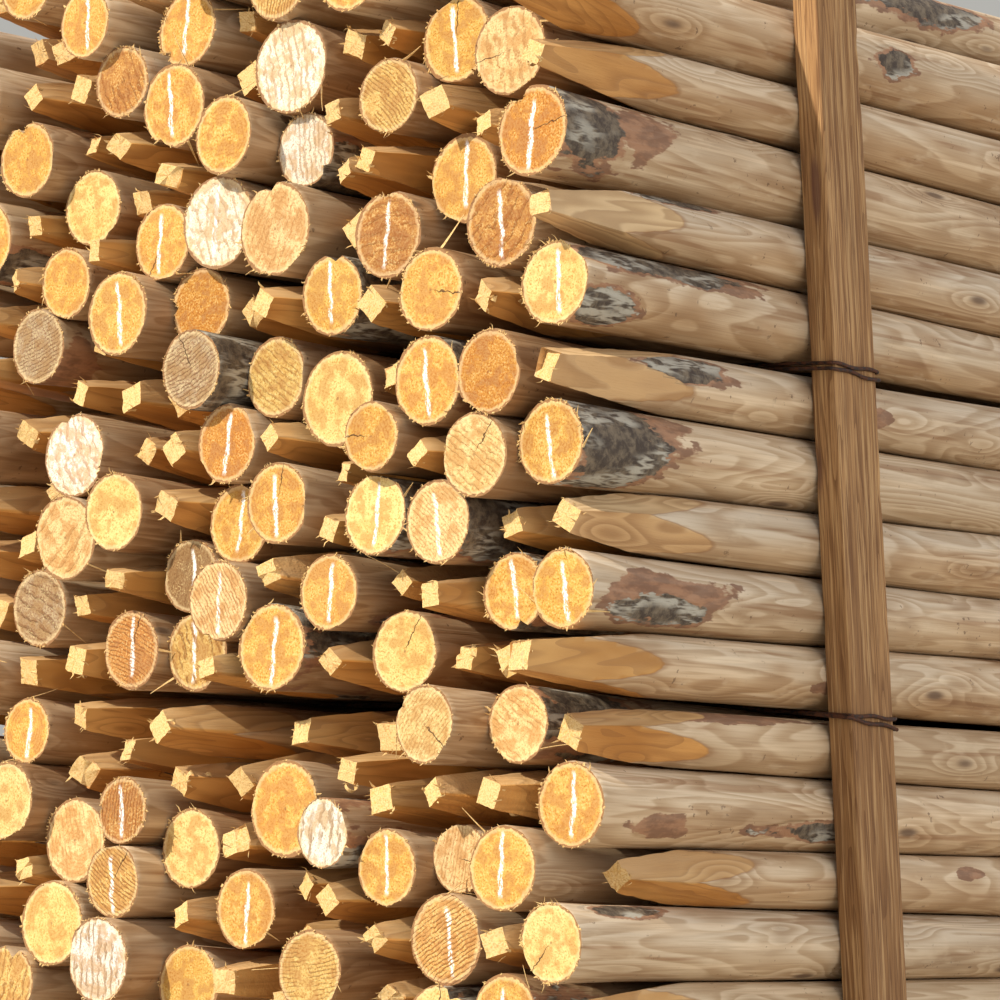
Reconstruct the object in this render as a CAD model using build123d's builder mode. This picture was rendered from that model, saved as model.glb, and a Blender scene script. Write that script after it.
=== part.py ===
from build123d import *
import math
import os
import random
from dataclasses import dataclass

import numpy as np

# Driving dimensions in millimetres. X runs along the posts, the ends that face -X are the
# front, the long side that faces -Y is the near side, and Z is up from the floor.

# A post is a peeled round pole with a sawn butt at one end and a hewn point at the other
POST_LENGTH = 2000.0
TAPER = 13.0 / 1000.0
POINT_LENGTH = 240.0
TIP_WIDTH = 25.0
BUTT_DIAMETERS = {"a": 108.0, "b": 100.0, "c": 93.0, "d": 85.0, "e": 118.0}

# The bundle lies between the inner faces of its battens
STACK_WIDTH = 1165.0
REST_GAP = 0.4
WIDTH_SHARE_PER_POST = 1.03

# Each layer from the floor up, near side first: the letter is the grade of a post, a
# capital has its butt in front and a small letter has its point in front
LAYERS = [
    "bCbBcBbBcbBCb",
    "BcbBbCbBcbBbC",
    "bBBcbbcBbcBbc",
    "CbAbBcbbAAbBc",
    "cBDCbbBBCAbcB",
    "BbcbDEbcDbBcb",
    "cCCbcbbcbcDbB",
    "bcbBbAcBBbcBb",
    "CCbcCbBCbcBbc",
    "bcBBcBBbBAbcB",
    "BBcDbcBbcAbcB",
    "bBAbEBBcbdbBc",
    "BbBcBbcBAbBcb",
    "bAAAbEEBbCbcB",
    "AbcbcCBbcBbAb",
    "bAACbEbAbcBbC",
    "ebBcbBbBCbcAb",
]

# The heap above the battened layers, and how far inside the near side each layer starts
HEAP_LAYERS = {"bCbBcBDbCbbA": 45.0, "bBcBbCb": 480.0}

# How far the front end of each near post stands behind the common front, from the floor up
NEAR_SET_BACKS = [0, 10, -5, -10, 95, 32, 9, -83, 13, 7, -3, -33, 4, -44, -33, -53, -110]
END_SCATTER = 38.0
SCATTER_SEED = 14

# Squared battens stand against both long sides, and lean a little along the posts
BATTEN_WIDTH = 89.0
BATTEN_THICKNESS = 38.0
BATTEN_EDGE = 3.0
BATTEN_OVER_TOP = 60.0
BATTEN_FEET = {"front": -434.0, "rear": 460.0}
BATTEN_LEANS = {"front": -4.0, "rear": 1.0}

# Tie wire in two strands lies across a layer and goes round a near and a far batten
WIRE_DIAMETER = 3.0
WIRE_DROP = 6.0
STRAND_DROP = 5.0
STRAND_SPREAD = 7.0
TIE_LAYER_COUNT = {"lower": 7, "upper": 12}

# Settling: the shares of the length where posts are kept clear, the steps of sinking and of
# coming clear, and the push below which a layer has come to rest
STATIONS = np.linspace(0, 1, 9)
SETTLE_STEPS = 200
CLEAR_STEPS = 500
DROP_PER_STEP = 0.6
PUSH_SHARE = 1.3
REST_PUSH_SHARE = 0.1
FELT_LAYER_COUNT = 2

# As many posts lie side by side as the width takes
GRADES_USED = "".join(LAYERS).lower()
MEAN_BUTT = sum(BUTT_DIAMETERS[grade] for grade in GRADES_USED) / len(GRADES_USED)
MEAN_THICKNESS = MEAN_BUTT - TAPER * POST_LENGTH / 2
COLUMNS = int(STACK_WIDTH / (MEAN_THICKNESS * WIDTH_SHARE_PER_POST))
PITCH = STACK_WIDTH / COLUMNS
WIRE_REACH = WIRE_DIAMETER / 2 + REST_GAP

os.makedirs("parts", exist_ok=True)


@dataclass
class Post:
    """One post: its grade, which way round it lies, its shift along X, the turn of its
    hewn faces, and the (y, z) of its axis at the two ends of the nominal length."""

    grade: str
    butt_in_front: bool
    shift: float
    turn: float
    front: tuple = (0.0, 0.0)
    back: tuple = (0.0, 0.0)

    def radius(self, x):
        along = x - self.shift if self.butt_in_front else self.shift - x
        return (BUTT_DIAMETERS[self.grade] - TAPER * (along + POST_LENGTH / 2)) / 2

    def axis_at(self, x):
        share = x / POST_LENGTH + 0.5
        return tuple((1 - share) * f + share * b for f, b in zip(self.front, self.back))

    def location(self):
        """Where the post goes: its own X runs from its butt to its point."""
        across, up = (b - f for f, b in zip(self.front, self.back))
        along = Vector(POST_LENGTH, across, up).normalized()
        level = Vector(0, 0, 1).cross(along).normalized()
        turn = math.radians(self.turn)
        z_dir = along.cross(level) * math.cos(turn) + level * math.sin(turn)
        x_dir = along if self.butt_in_front else along * -1
        origin = (self.shift, *self.axis_at(self.shift))
        return Plane(origin=origin, x_dir=x_dir, z_dir=z_dir).location


@dataclass
class WireRun:
    """A taut run of wire across the bundle at one x: its corners and the radius at each."""

    x: float
    ys: list
    zs: list
    radii: list


# The settling of the layers

def end_radii(posts):
    """The radii of the posts at the two ends of the nominal length."""
    ends = (-POST_LENGTH / 2, POST_LENGTH / 2)
    return np.array([[post.radius(x) for x in ends] for post in posts])


def first_shares(posts):
    """The share of the nominal length at which each post really starts."""
    return np.array([post.shift for post in posts]) / POST_LENGTH


def meeting_shares(posts, others):
    """The shares of the length at which each post is kept clear of each other one."""
    starts, other_starts = first_shares(posts)[:, None], first_shares(others)[None]
    low = np.maximum(starts, other_starts)
    high = 1 + np.minimum(starts, other_starts)
    return low[..., None] + (high - low)[..., None] * STATIONS


def between(ends, share):
    """The value at a share of the length, from the values at its two ends."""
    return (1 - share) * ends[..., 0] + share * ends[..., 1]


def move_at(ends, push, share):
    """Move the axes by a push at a share of their length."""
    weight = (1 - share) ** 2 + share**2
    ends[:, 0] += push * (1 - share) / weight
    ends[:, 1] += push * share / weight


def pushes(ends, radii, others, other_radii, shares):
    """How the two ends of each post move as the others push it clear."""
    share = shares[..., None]
    here = (1 - share) * ends[:, None, None, 0] + share * ends[:, None, None, 1]
    there = (1 - share) * others[None, :, None, 0] + share * others[None, :, None, 1]
    apart = here - there
    distance = np.linalg.norm(apart, axis=-1)
    wanted = between(radii[:, None, None], shares) + between(other_radii[None, :, None], shares)
    short = np.where(distance > 0, np.clip(wanted + REST_GAP - distance, 0.0, None), 0.0)
    push = apart * (short / np.maximum(distance, REST_GAP))[..., None]
    moves = []
    for part in (1 - share, share):
        lever = part / ((1 - share) ** 2 + share**2)
        count = (lever[..., 0] * (short > 0)).sum(axis=(1, 2))
        moves.append((push * lever).sum(axis=(1, 2)) / np.maximum(count, 1)[:, None])
    return np.stack(moves, axis=1)


def drop_on(ends, radii, fixed, fixed_radii):
    """Lower each end of a layer onto the first post under it."""
    for end in (0, 1):
        reach = radii[:, end, None] + fixed_radii[None, :, end] + REST_GAP
        aside = ends[:, end, 0][:, None] - fixed[None, :, end, 0]
        rise = np.sqrt(np.clip(reach**2 - aside**2, 0.0, None))
        ends[:, end, 1] = (fixed[None, :, end, 1] + rise).max(axis=1)


def keep_in_bundle(ends, radii, starts):
    """Keep a layer between the battens and off the floor."""
    for share in (starts, 1 + starts):
        radius = between(radii, share)
        at = (1 - share)[:, None] * ends[:, 0] + share[:, None] * ends[:, 1]
        push = np.zeros_like(at)
        push[:, 0] += np.clip(radius + REST_GAP - at[:, 0], 0.0, None)
        push[:, 0] -= np.clip(at[:, 0] + radius + REST_GAP - STACK_WIDTH, 0.0, None)
        push[:, 1] += np.clip(radius - at[:, 1], 0.0, None)
        move_at(ends, push, share[:, None])


def keep_above_wire(ends, posts, run):
    """Keep a layer above a run of tie wire that crosses below it."""
    share = run.x / POST_LENGTH + 0.5
    at = (1 - share) * ends[:, 0] + share * ends[:, 1]
    clear = np.array([post.radius(run.x) + WIRE_REACH for post in posts])
    need = np.full(len(posts), -math.inf)
    for side in np.linspace(-0.9, 0.9, 13):
        level = np.interp(at[:, 0] + side * clear, run.ys, run.zs)
        need = np.maximum(need, level + clear * math.sqrt(1 - side**2))
    push = np.zeros_like(at)
    push[:, 1] = np.clip(need - at[:, 1], 0.0, None)
    move_at(ends, push, share)


def settle(posts, below, runs, first_y, held):
    """Let a layer sink between the battens until it lies on the layers below it."""
    radii = end_radii(posts)
    ends = np.zeros((len(posts), 2, 2))
    ends[:, :, 0] = (first_y + PITCH * (np.arange(len(posts)) + 0.5))[:, None]
    ends[:, :, 1] = PITCH
    shares = meeting_shares(posts, posts)
    if below:
        fixed = np.array([[post.front, post.back] for post in below])
        fixed_radii = end_radii(below)
        fixed_shares = meeting_shares(posts, below)
        drop_on(ends, radii, fixed, fixed_radii)
    for step in range(SETTLE_STEPS + CLEAR_STEPS):
        drop = DROP_PER_STEP * max(0.0, 1 - step / SETTLE_STEPS)
        ends[:, :, 1] -= drop
        if held:
            ends[0, :, 0] -= drop
            ends[-1, :, 0] += drop
        moves = pushes(ends, radii, ends, radii, shares) / 2
        if below:
            moves += pushes(ends, radii, fixed, fixed_radii, fixed_shares)
        if step > SETTLE_STEPS and np.abs(moves).max() < REST_PUSH_SHARE * REST_GAP:
            break
        ends += PUSH_SHARE * moves
        keep_in_bundle(ends, radii, first_shares(posts))
        for run in runs:
            keep_above_wire(ends, posts, run)
    for post, (front, back) in zip(posts, ends):
        post.front = tuple(front)
        post.back = tuple(back)


# The tie wires

def tangent_slope(circle, other):
    """The slope angle of the upper common tangent from one circle to one beyond it."""
    across, up = other[0] - circle[0], other[1] - circle[1]
    return math.atan2(up, across) + math.asin((other[2] - circle[2]) / math.hypot(across, up))


def taut_run(posts, x, near_z, far_z):
    """A wire pulled taut over the posts at x, from a near anchor to a far one."""
    outside = BATTEN_THICKNESS + WIRE_REACH
    circles = [(*post.axis_at(x), post.radius(x) + WIRE_REACH) for post in posts]
    circles.append((STACK_WIDTH + outside, far_z, 0.0))
    touched = [(-outside, near_z, 0.0)]
    slopes = []
    while touched[-1] != circles[-1]:
        here = touched[-1]
        beyond = [c for c in circles if c[0] > here[0] and math.dist(c[:2], here[:2]) > c[2]]
        touched.append(max(beyond, key=lambda circle: tangent_slope(here, circle)))
        slopes.append(tangent_slope(here, touched[-1]))
    corners = [touched[0]]
    for circle, slope_in, slope_out in zip(touched[1:], slopes, slopes[1:]):
        middle = (slope_in + slope_out) / 2
        reach = circle[2] / math.cos((slope_in - slope_out) / 2)
        corners.append(
            (circle[0] - reach * math.sin(middle), circle[1] + reach * math.cos(middle), circle[2])
        )
    corners.append(touched[-1])
    ys, zs, radii = (list(values) for values in zip(*corners))
    return WireRun(x, ys, zs, radii)


def batten_x(place, z):
    """The middle of a leaning batten at a height."""
    return BATTEN_FEET[place] + z * math.tan(math.radians(BATTEN_LEANS[place]))


def strand_runs(posts, place, strand):
    """The two runs of one strand, on either side of its pair of battens."""
    crest = max(p.axis_at(0)[1] + p.radius(0) for p in posts if p.axis_at(0)[0] < PITCH)
    level = crest - WIRE_DROP - STRAND_DROP * strand
    half = BATTEN_WIDTH / 2 / math.cos(math.radians(BATTEN_LEANS[place])) + 2 * WIRE_REACH
    half += strand * (WIRE_DIAMETER + REST_GAP)
    middle = batten_x(place, level)
    left = taut_run(posts, middle - half, level, level)
    lower = level - STRAND_SPREAD * strand
    right = taut_run(posts, middle + half, lower, lower)
    return left, right


def strand_halves(left, right):
    """The closed route of a strand as two halves that meet on the outer batten faces."""
    ends = []
    for end in (0, -1):
        height = (left.zs[end] + right.zs[end]) / 2
        ends.append(((left.x + right.x) / 2, left.ys[end], height))
    edge = BATTEN_EDGE + WIRE_REACH
    halves = []
    for run in (left, right):
        corners = [(run.x, y, z) for y, z in zip(run.ys, run.zs)]
        halves.append(([ends[0], *corners, ends[1]], [edge, *run.radii[1:-1], edge]))
    return halves


def lay_bundle():
    """Lay the layers one on another, with the wires between them, and give both."""
    scatter = random.Random(SCATTER_SEED)
    layers = []
    ties = {}
    rows = [((letters * 2)[:COLUMNS], 0.0, True) for letters in LAYERS]
    for letters, inset in HEAP_LAYERS.items():
        rows.append((letters[: int((STACK_WIDTH - inset) / PITCH)], inset, False))
    for number, (letters, inset, held) in enumerate(rows):
        posts = []
        for letter in letters:
            shift = scatter.uniform(-END_SCATTER, END_SCATTER)
            posts.append(Post(letter.lower(), letter.isupper(), shift, scatter.uniform(0, 90)))
        if held:
            posts[0].shift = float(NEAR_SET_BACKS[number])
        below = [post for layer in layers[-FELT_LAYER_COUNT:] for post in layer]
        runs = []
        for level, count in TIE_LAYER_COUNT.items():
            if count == number:
                for place in BATTEN_FEET:
                    strands = [strand_runs(below, place, strand) for strand in (0, 1)]
                    ties[level, place] = strands
                    runs += [run for pair in strands for run in pair]
        settle(posts, below, runs, inset, held)
        layers.append(posts)
    return layers, ties


# The solids

def make_post(butt_diameter):
    """A post along X, its butt at the low end, hewn on four sides at the high end."""
    end = POST_LENGTH / 2
    point_radius = (butt_diameter - TAPER * POST_LENGTH) / 2
    shoulder_radius = (butt_diameter - TAPER * (POST_LENGTH - POINT_LENGTH)) / 2
    slope = math.atan2(shoulder_radius - TIP_WIDTH / 2, POINT_LENGTH)
    with BuildPart() as post:
        with BuildSketch(Plane.XZ):
            with BuildLine():
                Polyline(
                    (-end, 0),
                    (-end, butt_diameter / 2),
                    (end, point_radius),
                    (end, 0),
                    close=True,
                )
            make_face()
        revolve(axis=Axis.X)
        for quarter in range(4):
            around = math.radians(90 * quarter)
            out = Vector(0, -math.sin(around), math.cos(around))
            normal = out * math.cos(slope) + Vector(1, 0, 0) * math.sin(slope)
            hewn = Plane(origin=Vector(end, 0, 0) + out * (TIP_WIDTH / 2), z_dir=normal)
            split(bisect_by=hewn, keep=Keep.BOTTOM)
    return post.part


def make_layer(posts, shapes, middle):
    """The posts of one layer, each a solid of its own."""
    home = Location((-middle, -STACK_WIDTH / 2, 0))
    with BuildPart() as layer:
        for grade in sorted({post.grade for post in posts}):
            with Locations(*[home * post.location() for post in posts if post.grade == grade]):
                add(shapes[grade])
    return layer.part


def make_batten(place, side, top, middle):
    """A squared batten with eased edges, cut level at its foot and its top."""
    lean = math.radians(BATTEN_LEANS[place])
    inner = side * STACK_WIDTH / 2
    outer = inner + side * BATTEN_THICKNESS
    half = BATTEN_WIDTH / 2 / math.cos(lean)
    with BuildPart() as batten:
        for level in (0.0, top):
            with BuildSketch(Plane.XY.offset(level)):
                with Locations((batten_x(place, level) - middle, (inner + outer) / 2)):
                    RectangleRounded(2 * half, BATTEN_THICKNESS, BATTEN_EDGE)
        loft(ruled=True)
    return batten.part


def make_tie(strands, middle):
    """The two strands of a tie, each a closed loop of wire."""
    with BuildPart() as tie:
        for left, right in strands:
            for corners, radii in strand_halves(left, right):
                moved = [(x - middle, y - STACK_WIDTH / 2, z) for x, y, z in corners]
                with BuildLine() as route:
                    FilletPolyline(*moved, radius=radii)
                wire = route.wires()[0]
                with BuildSketch(Plane(origin=wire @ 0, z_dir=wire % 0)):
                    Circle(WIRE_DIAMETER / 2)
                sweep(path=wire)
    return tie.part


def write_piece(piece, name):
    piece.label = name
    export_step(piece, f"parts/{name}.step")


layers, ties = lay_bundle()
every_post = [post for layer in layers for post in layer]
shifts = [post.shift for post in every_post]
middle = (min(shifts) + max(shifts)) / 2
shapes = {grade: make_post(diameter) for grade, diameter in BUTT_DIAMETERS.items()}

for number, posts in enumerate(layers, 1):
    write_piece(make_layer(posts, shapes, middle), f"post_layer_{number:02d}")

near_top = max(post.axis_at(0)[1] + post.radius(0) for post in layers[len(LAYERS)][:1])
for place in BATTEN_FEET:
    for side_name, side in (("near", -1), ("far", 1)):
        batten = make_batten(place, side, near_top + BATTEN_OVER_TOP, middle)
        write_piece(batten, f"batten_{side_name}_{place}")

for (level, place), strands in ties.items():
    write_piece(make_tie(strands, middle), f"tie_{level}_{place}")
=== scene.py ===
import math

import bmesh
import bpy
import numpy as np
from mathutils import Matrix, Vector


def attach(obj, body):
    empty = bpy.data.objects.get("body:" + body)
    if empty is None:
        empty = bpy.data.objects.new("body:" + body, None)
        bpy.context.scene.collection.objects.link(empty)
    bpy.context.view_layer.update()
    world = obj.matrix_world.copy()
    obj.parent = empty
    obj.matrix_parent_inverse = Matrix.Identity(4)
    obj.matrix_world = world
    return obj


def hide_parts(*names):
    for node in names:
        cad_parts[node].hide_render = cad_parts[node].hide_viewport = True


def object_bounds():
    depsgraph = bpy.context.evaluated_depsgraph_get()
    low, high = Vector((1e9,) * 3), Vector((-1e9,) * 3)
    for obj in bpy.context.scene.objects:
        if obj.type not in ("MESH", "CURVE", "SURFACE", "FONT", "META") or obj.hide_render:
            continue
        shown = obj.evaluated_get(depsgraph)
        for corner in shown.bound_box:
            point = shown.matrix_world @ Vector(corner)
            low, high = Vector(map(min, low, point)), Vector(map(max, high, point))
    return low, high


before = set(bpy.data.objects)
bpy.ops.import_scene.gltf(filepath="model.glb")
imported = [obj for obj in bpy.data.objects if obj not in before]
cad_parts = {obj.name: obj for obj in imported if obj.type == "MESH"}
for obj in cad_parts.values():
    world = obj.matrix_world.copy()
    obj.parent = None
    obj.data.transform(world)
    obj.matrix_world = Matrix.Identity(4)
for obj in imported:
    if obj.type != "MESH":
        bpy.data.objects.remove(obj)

cad_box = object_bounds()
rng = np.random.default_rng(11)
tip_rng = np.random.default_rng(5)

# Sizes in metres that the posts of the frame share: their length, what the radius loses in a
# metre, the length of the hewn point and half the width of its blunt end
LENGTH = 2.0
TAPER = 0.0065
POINT = 0.24
TIP = 0.0125

# How much wider than its solid a butt is at its end, and how soon that fades
BUTT_SWELLING = 0.04
SWELLING_RUN = 0.06

# A full turn, and the range of a random one
TURN = 2 * math.pi
ANY_TURN = (0, 6.28)

# Where the rings near a butt lie, how far before the point the closer rings begin, and how
# far in the rings on a butt and on a blunt end lie
BUTT_RINGS = [0.0, 0.003, 0.009, 0.02, 0.035, 0.06, 0.1, 0.15, 0.22, 0.31]
POINT_LEAD = 0.045
DISC_SHARES = (0.93, 0.72, 0.48, 0.24)
TIP_SHARE = 0.6

# The gap kept to the floor, and the thickness of a straw or a chip
FLOOR_GAP = 0.0004
SHAVING = 0.0003

# The materials of a post, by their number, and the attributes that they read
STEM, SAWN, SPLINTER = range(3)
VECTORS = ("grain", "mark", "cut", "face", "tint", "tone_and_shade", "peel")

# What the ends have for their depth below the round, in millimetres, and what bare wood has
# for how far inside a patch of bark it is
INSIDE = 3.0
BARE = -1.0

# What the butts at the front look like, a letter for each post of a layer from the near side.
# A capital carries a white stripe of paint, a dash is a post whose point is in front, and s is a
# butt painted dark as painted shade.
FRONT_LOOKS = [
    "-B-y-Y-K--ok-",
    "O--o-O-o--Y-k",
    "-Oy----o--k--",
    "y-K-k---wy-y-",
    "-OcO--OyKc--k",
    "O---wo--B-y--",
    "-cc-------O-y",
    "---y-O-KB--O-",
    "OO--O-CS--g--",
    "--CY-OO-yc--B",
    "Oc-o--R--w--y",
    "-rO-ykg----k-",
    "Y-o-O--rO-g--",
    "-BOB-cWO-o--o",
    "R----wo--y-O-",
    "-cOk-w-O--o-K",
    "--y--k-Ob--o-",
    "-y-o-co-O--Y",
    "-K-o-o-",
]

# The looks that a butt at the rear is drawn from
REAR_LOOKS = "ooyycbkgOOY"

# Bark left on the posts of the near column and the top: the layer, the column, how far
# the patch's middle is from the front end, its turn from the top towards the near side,
# half its length and half its turn, and whether it is old grey bark
BARK = [
    (14, 0, 0.05, 75, 0.085, 95, 1), (14, 0, 0.15, 70, 0.08, 60, 0),
    (12, 0, 0.14, 40, 0.22, 34, 1), (12, 0, 0.31, 60, 0.07, 24, 0),
    (12, 0, 0.04, 130, 0.07, 40, 1), (10, 0, 0.07, 80, 0.12, 110, 1),
    (10, 0, 0.17, 60, 0.06, 60, 0), (8, 0, 0.14, 118, 0.10, 30, 1),
    (8, 0, 0.15, 95, 0.15, 46, 0), (11, 0, 0.22, 70, 0.11, 40, 1),
    (11, 0, 0.62, 100, 0.05, 26, 0), (5, 0, 0.42, 118, 0.12, 22, 1),
    (5, 0, 0.12, 120, 0.08, 30, 0), (3, 0, 0.10, 30, 0.09, 22, 1),
    (3, 0, 0.55, 80, 0.03, 20, 0), (13, 0, 0.25, 30, 0.10, 20, 1),
    (15, 0, 0.50, 60, 0.04, 25, 0), (16, 0, 0.75, 85, 0.06, 30, 1),
    (7, 0, 0.60, 110, 0.08, 20, 0), (4, 0, 0.7, 70, 0.05, 20, 0),
    (17, 0, 0.75, 60, 0.20, 50, 1), (18, 0, 0.9, 50, 0.3, 60, 1),
    (17, 0, 1.3, 40, 0.2, 40, 1), (8, 1, 0.08, 80, 0.14, 170, 1),
    (6, 1, 0.08, 60, 0.12, 120, 1), (9, 2, 0.1, 80, 0.2, 90, 1),
]

# How weathered the posts of the near column are, by layer
NEAR_GREY = {
    4: 0.35, 6: 0.1, 7: 0.5, 8: 0.7, 9: 0.9, 10: 0.5, 11: 0.8, 12: 0.6, 13: 0.95, 14: 0.4,
    15: 0.6, 16: 0.5,
}

# Albedo of fresh cut wood by look, and how strongly its saw kerfs show; the look s is painted
# shade
LOOKS = {
    "o": ((0.63, 0.372, 0.085), 0.12),
    "y": ((0.72, 0.54, 0.20), 0.10),
    "c": ((0.70, 0.50, 0.23), 0.75),
    "w": ((0.74, 0.715, 0.62), 1.0),
    "r": ((0.52, 0.235, 0.040), 0.2),
    "b": ((0.46, 0.22, 0.055), 0.8),
    "k": ((0.58, 0.365, 0.115), 1.0),
    "g": ((0.36, 0.26, 0.15), 0.9),
    # Not a wood colour: a butt painted dark as painted shade
    "s": ((0.24, 0.14, 0.06), 0.4),
}


# Reading the posts of the frame

def unit(vector):
    return vector / np.linalg.norm(vector)


def mesh_points(obj):
    """The distinct points of a frame mesh and its triangles."""
    mesh = obj.data
    mesh.calc_loop_triangles()
    points = np.empty(len(mesh.vertices) * 3, np.float32)
    mesh.vertices.foreach_get("co", points)
    faces = np.empty(len(mesh.loop_triangles) * 3, np.int32)
    mesh.loop_triangles.foreach_get("vertices", faces)
    points, inverse = np.unique(points.reshape(-1, 3), axis=0, return_inverse=True)
    return points.astype(np.float64), inverse.reshape(-1)[faces].reshape(-1, 3)


def shell_labels(points, faces):
    """A number for each point of a mesh that says which closed shell it is on."""
    label = np.arange(len(points))
    edges = np.concatenate([faces[:, [0, 1]], faces[:, [1, 2]], faces[:, [2, 0]]])
    while True:
        low = np.minimum(label[edges[:, 0]], label[edges[:, 1]])
        before = label.copy()
        np.minimum.at(label, edges[:, 0], low)
        np.minimum.at(label, edges[:, 1], low)
        label = label[label]
        if (label == before).all():
            return label


def loose_parts(points, faces):
    """The points of each closed shell of a mesh."""
    label = shell_labels(points, faces)
    return [points[label == value] for value in np.unique(label)]


def circle_of(points, normal):
    """Centre and radius of the circle that points on its rim lie on."""
    across = unit(np.cross(normal, (0.0, 0.0, 1.0)))
    up = np.cross(across, normal)
    middle = points.mean(axis=0)
    u, v = (points - middle) @ across, (points - middle) @ up
    fit = np.linalg.lstsq(np.c_[2 * u, 2 * v, np.ones(len(u))], u**2 + v**2, rcond=None)[0]
    radius = math.sqrt(fit[2] + fit[0] ** 2 + fit[1] ** 2)
    return middle + fit[0] * across + fit[1] * up, radius


def read_post(points):
    """Butt centre, axis, direction of a hewn face and butt radius of a post."""
    middle = points.mean(axis=0)
    axis = np.linalg.svd(points - middle, full_matrices=False)[2][0]
    along = (points - middle) @ axis
    slice_depth = 0.003
    low_end = points[along < along.min() + slice_depth]
    high_end = points[along > along.max() - slice_depth]
    low_wide, high_wide = (
        np.linalg.norm(end - end.mean(axis=0), axis=1).max() for end in (low_end, high_end))
    butt_end, tip_end = (low_end, high_end) if low_wide > high_wide else (high_end, low_end)
    tip = tip_end.mean(axis=0)
    butt, radius = circle_of(butt_end, axis)
    axis = unit(tip - butt)
    corner = tip_end[0] - tip
    corner -= axis * (corner @ axis)
    corner /= np.linalg.norm(corner)
    side = (corner + np.cross(axis, corner)) / math.sqrt(2)
    return butt, axis, side, radius


# The mesh of a post, in places s along it and turns t round it

def waves(count, rough):
    """A smooth random function of one number, made of a few waves."""
    lengths = rng.uniform(0.25, 1.6, count)
    phases = rng.uniform(0, TURN, count)
    sizes = rng.uniform(0.3, 1.0, count) * rough
    return lambda s: sum(size * np.sin(TURN * s / length + phase)
                         for size, length, phase in zip(sizes, lengths, phases))


def turn_between(turn, start):
    """The turn from a start, between minus and plus half a turn."""
    return (turn - start + math.pi) % TURN - math.pi


def post_rings(seen):
    """Where along a post its rings lie, closer where its flank is seen."""
    gap, count = (0.06, 26) if seen else (0.27, 15)
    start, run = LENGTH - POINT - POINT_LEAD, POINT + POINT_LEAD
    point = start + np.linspace(0, 1, count) ** 0.9 * run
    between = int((point[0] - BUTT_RINGS[-1]) / gap) + 2
    middle = np.linspace(BUTT_RINGS[-1], point[0], between)[1:-1]
    return np.concatenate([BUTT_RINGS, middle, point])


def uneven_stem(look, radius, s, t):
    """Radius of the peeled round, never quite round and mostly a little inside the cone."""
    oval, three, five = waves(3, 0.010), waves(3, 0.007), waves(3, 0.004)
    swing = waves(2, 0.8)(s)
    uneven = oval(s) * np.cos(2 * t + swing) + three(s + 1) * np.cos(3 * t + swing * 2)
    uneven += five(s + 2) * np.cos(5 * t - swing)
    lift = np.zeros_like(s)
    for _ in range(look["knots"]):
        place, where = rng.uniform(0.1, LENGTH - POINT), rng.uniform(0, TURN)
        apart = turn_between(t, where)
        along, spread = (s - place) / 0.05, rng.uniform(0.25, 0.5)
        lift += rng.uniform(0.01, 0.03) * np.exp(-(along**2) - (apart / spread) ** 2)
    inset = 0.008
    return (radius - TAPER * s) * (1 + np.clip(uneven + lift - inset, -0.03, 0.012))


def worn_rim(look, turn):
    """The share of the radius that flats and a notch here and there take off a butt's rim."""
    worn = np.zeros_like(turn)
    for _ in range(look["flats"]):
        apart = np.cos(turn - rng.uniform(0, TURN))
        chord = rng.uniform(0.90, 0.98)
        worn = np.maximum(worn, 1 - np.minimum(1, chord / np.maximum(apart, 0.2)))
    for _ in range(look["notches"]):
        apart = np.abs(turn_between(turn, rng.uniform(0, TURN)))
        deep, wide = rng.uniform(0.12, 0.34), rng.uniform(0.16, 0.3)
        worn = np.maximum(worn, deep * np.clip(1 - apart / wide, 0, 1))
    return worn


def chop_marks(quarter, s, t):
    """How far the four hewn faces lie off their planes, each with its own chop marks."""
    chop = np.zeros_like(s)
    for face in range(4):
        length = rng.uniform(0.028, 0.06)
        phase = rng.uniform(*ANY_TURN)
        deep = rng.uniform(0.0004, 0.0011)
        lean = rng.uniform(-0.0022, 0.0)
        mark = np.abs(np.sin(math.pi * s / length + phase + 0.6 * np.sin(3 * t)))
        off = lean * (1 - (LENGTH - s) / POINT) + deep * (mark - 1)
        chop = np.where(quarter == face, off, chop)
    return chop


def ring_points(place, out, turn):
    """Points of rings, from their places along the post and their radii."""
    return np.stack([place, out * np.cos(turn), out * np.sin(turn)], axis=-1)


def post_faces(count, segments):
    """Faces and material numbers of a post with a number of rings along it."""
    j = np.arange(segments)
    k = (j + 1) % segments
    quads, quad_kinds = [], []

    def band(low, high, kind):
        quads.append(np.stack([low + j, low + k, high + k, high + j], axis=-1))
        quad_kinds.append(np.full(segments, kind))

    for ring in range(count - 1):
        band((ring + 1) * segments, ring * segments, STEM)
    base = count * segments
    starts = [0] + [base + i * segments for i in range(len(DISC_SHARES))]
    for low, high in zip(starts, starts[1:]):
        band(low, high, SAWN)
    butt_centre = base + len(DISC_SHARES) * segments
    tip_start = butt_centre + 1
    tip_centre = tip_start + segments
    band(tip_start, (count - 1) * segments, SPLINTER)
    fans = [
        np.stack([starts[-1] + j, starts[-1] + k, np.full(segments, butt_centre)], axis=-1),
        np.stack([tip_start + k, tip_start + j, np.full(segments, tip_centre)], axis=-1),
    ]
    return {
        "quads": np.concatenate(quads), "quad_kinds": np.concatenate(quad_kinds),
        "tris": np.concatenate(fans), "tri_kinds": np.repeat([SAWN, SPLINTER], segments),
    }


def in_butt_plane(local, turn):
    """Measures of points along and across a line that lies turned in the plane of the butt."""
    cos, sin = math.cos(turn), math.sin(turn)
    return local[:, 1] * cos + local[:, 2] * sin, -local[:, 1] * sin + local[:, 2] * cos


def columns(total, *values):
    """An attribute's columns, each an array or one number for all the points."""
    return np.stack([np.broadcast_to(value, total) for value in values], axis=-1)


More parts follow.
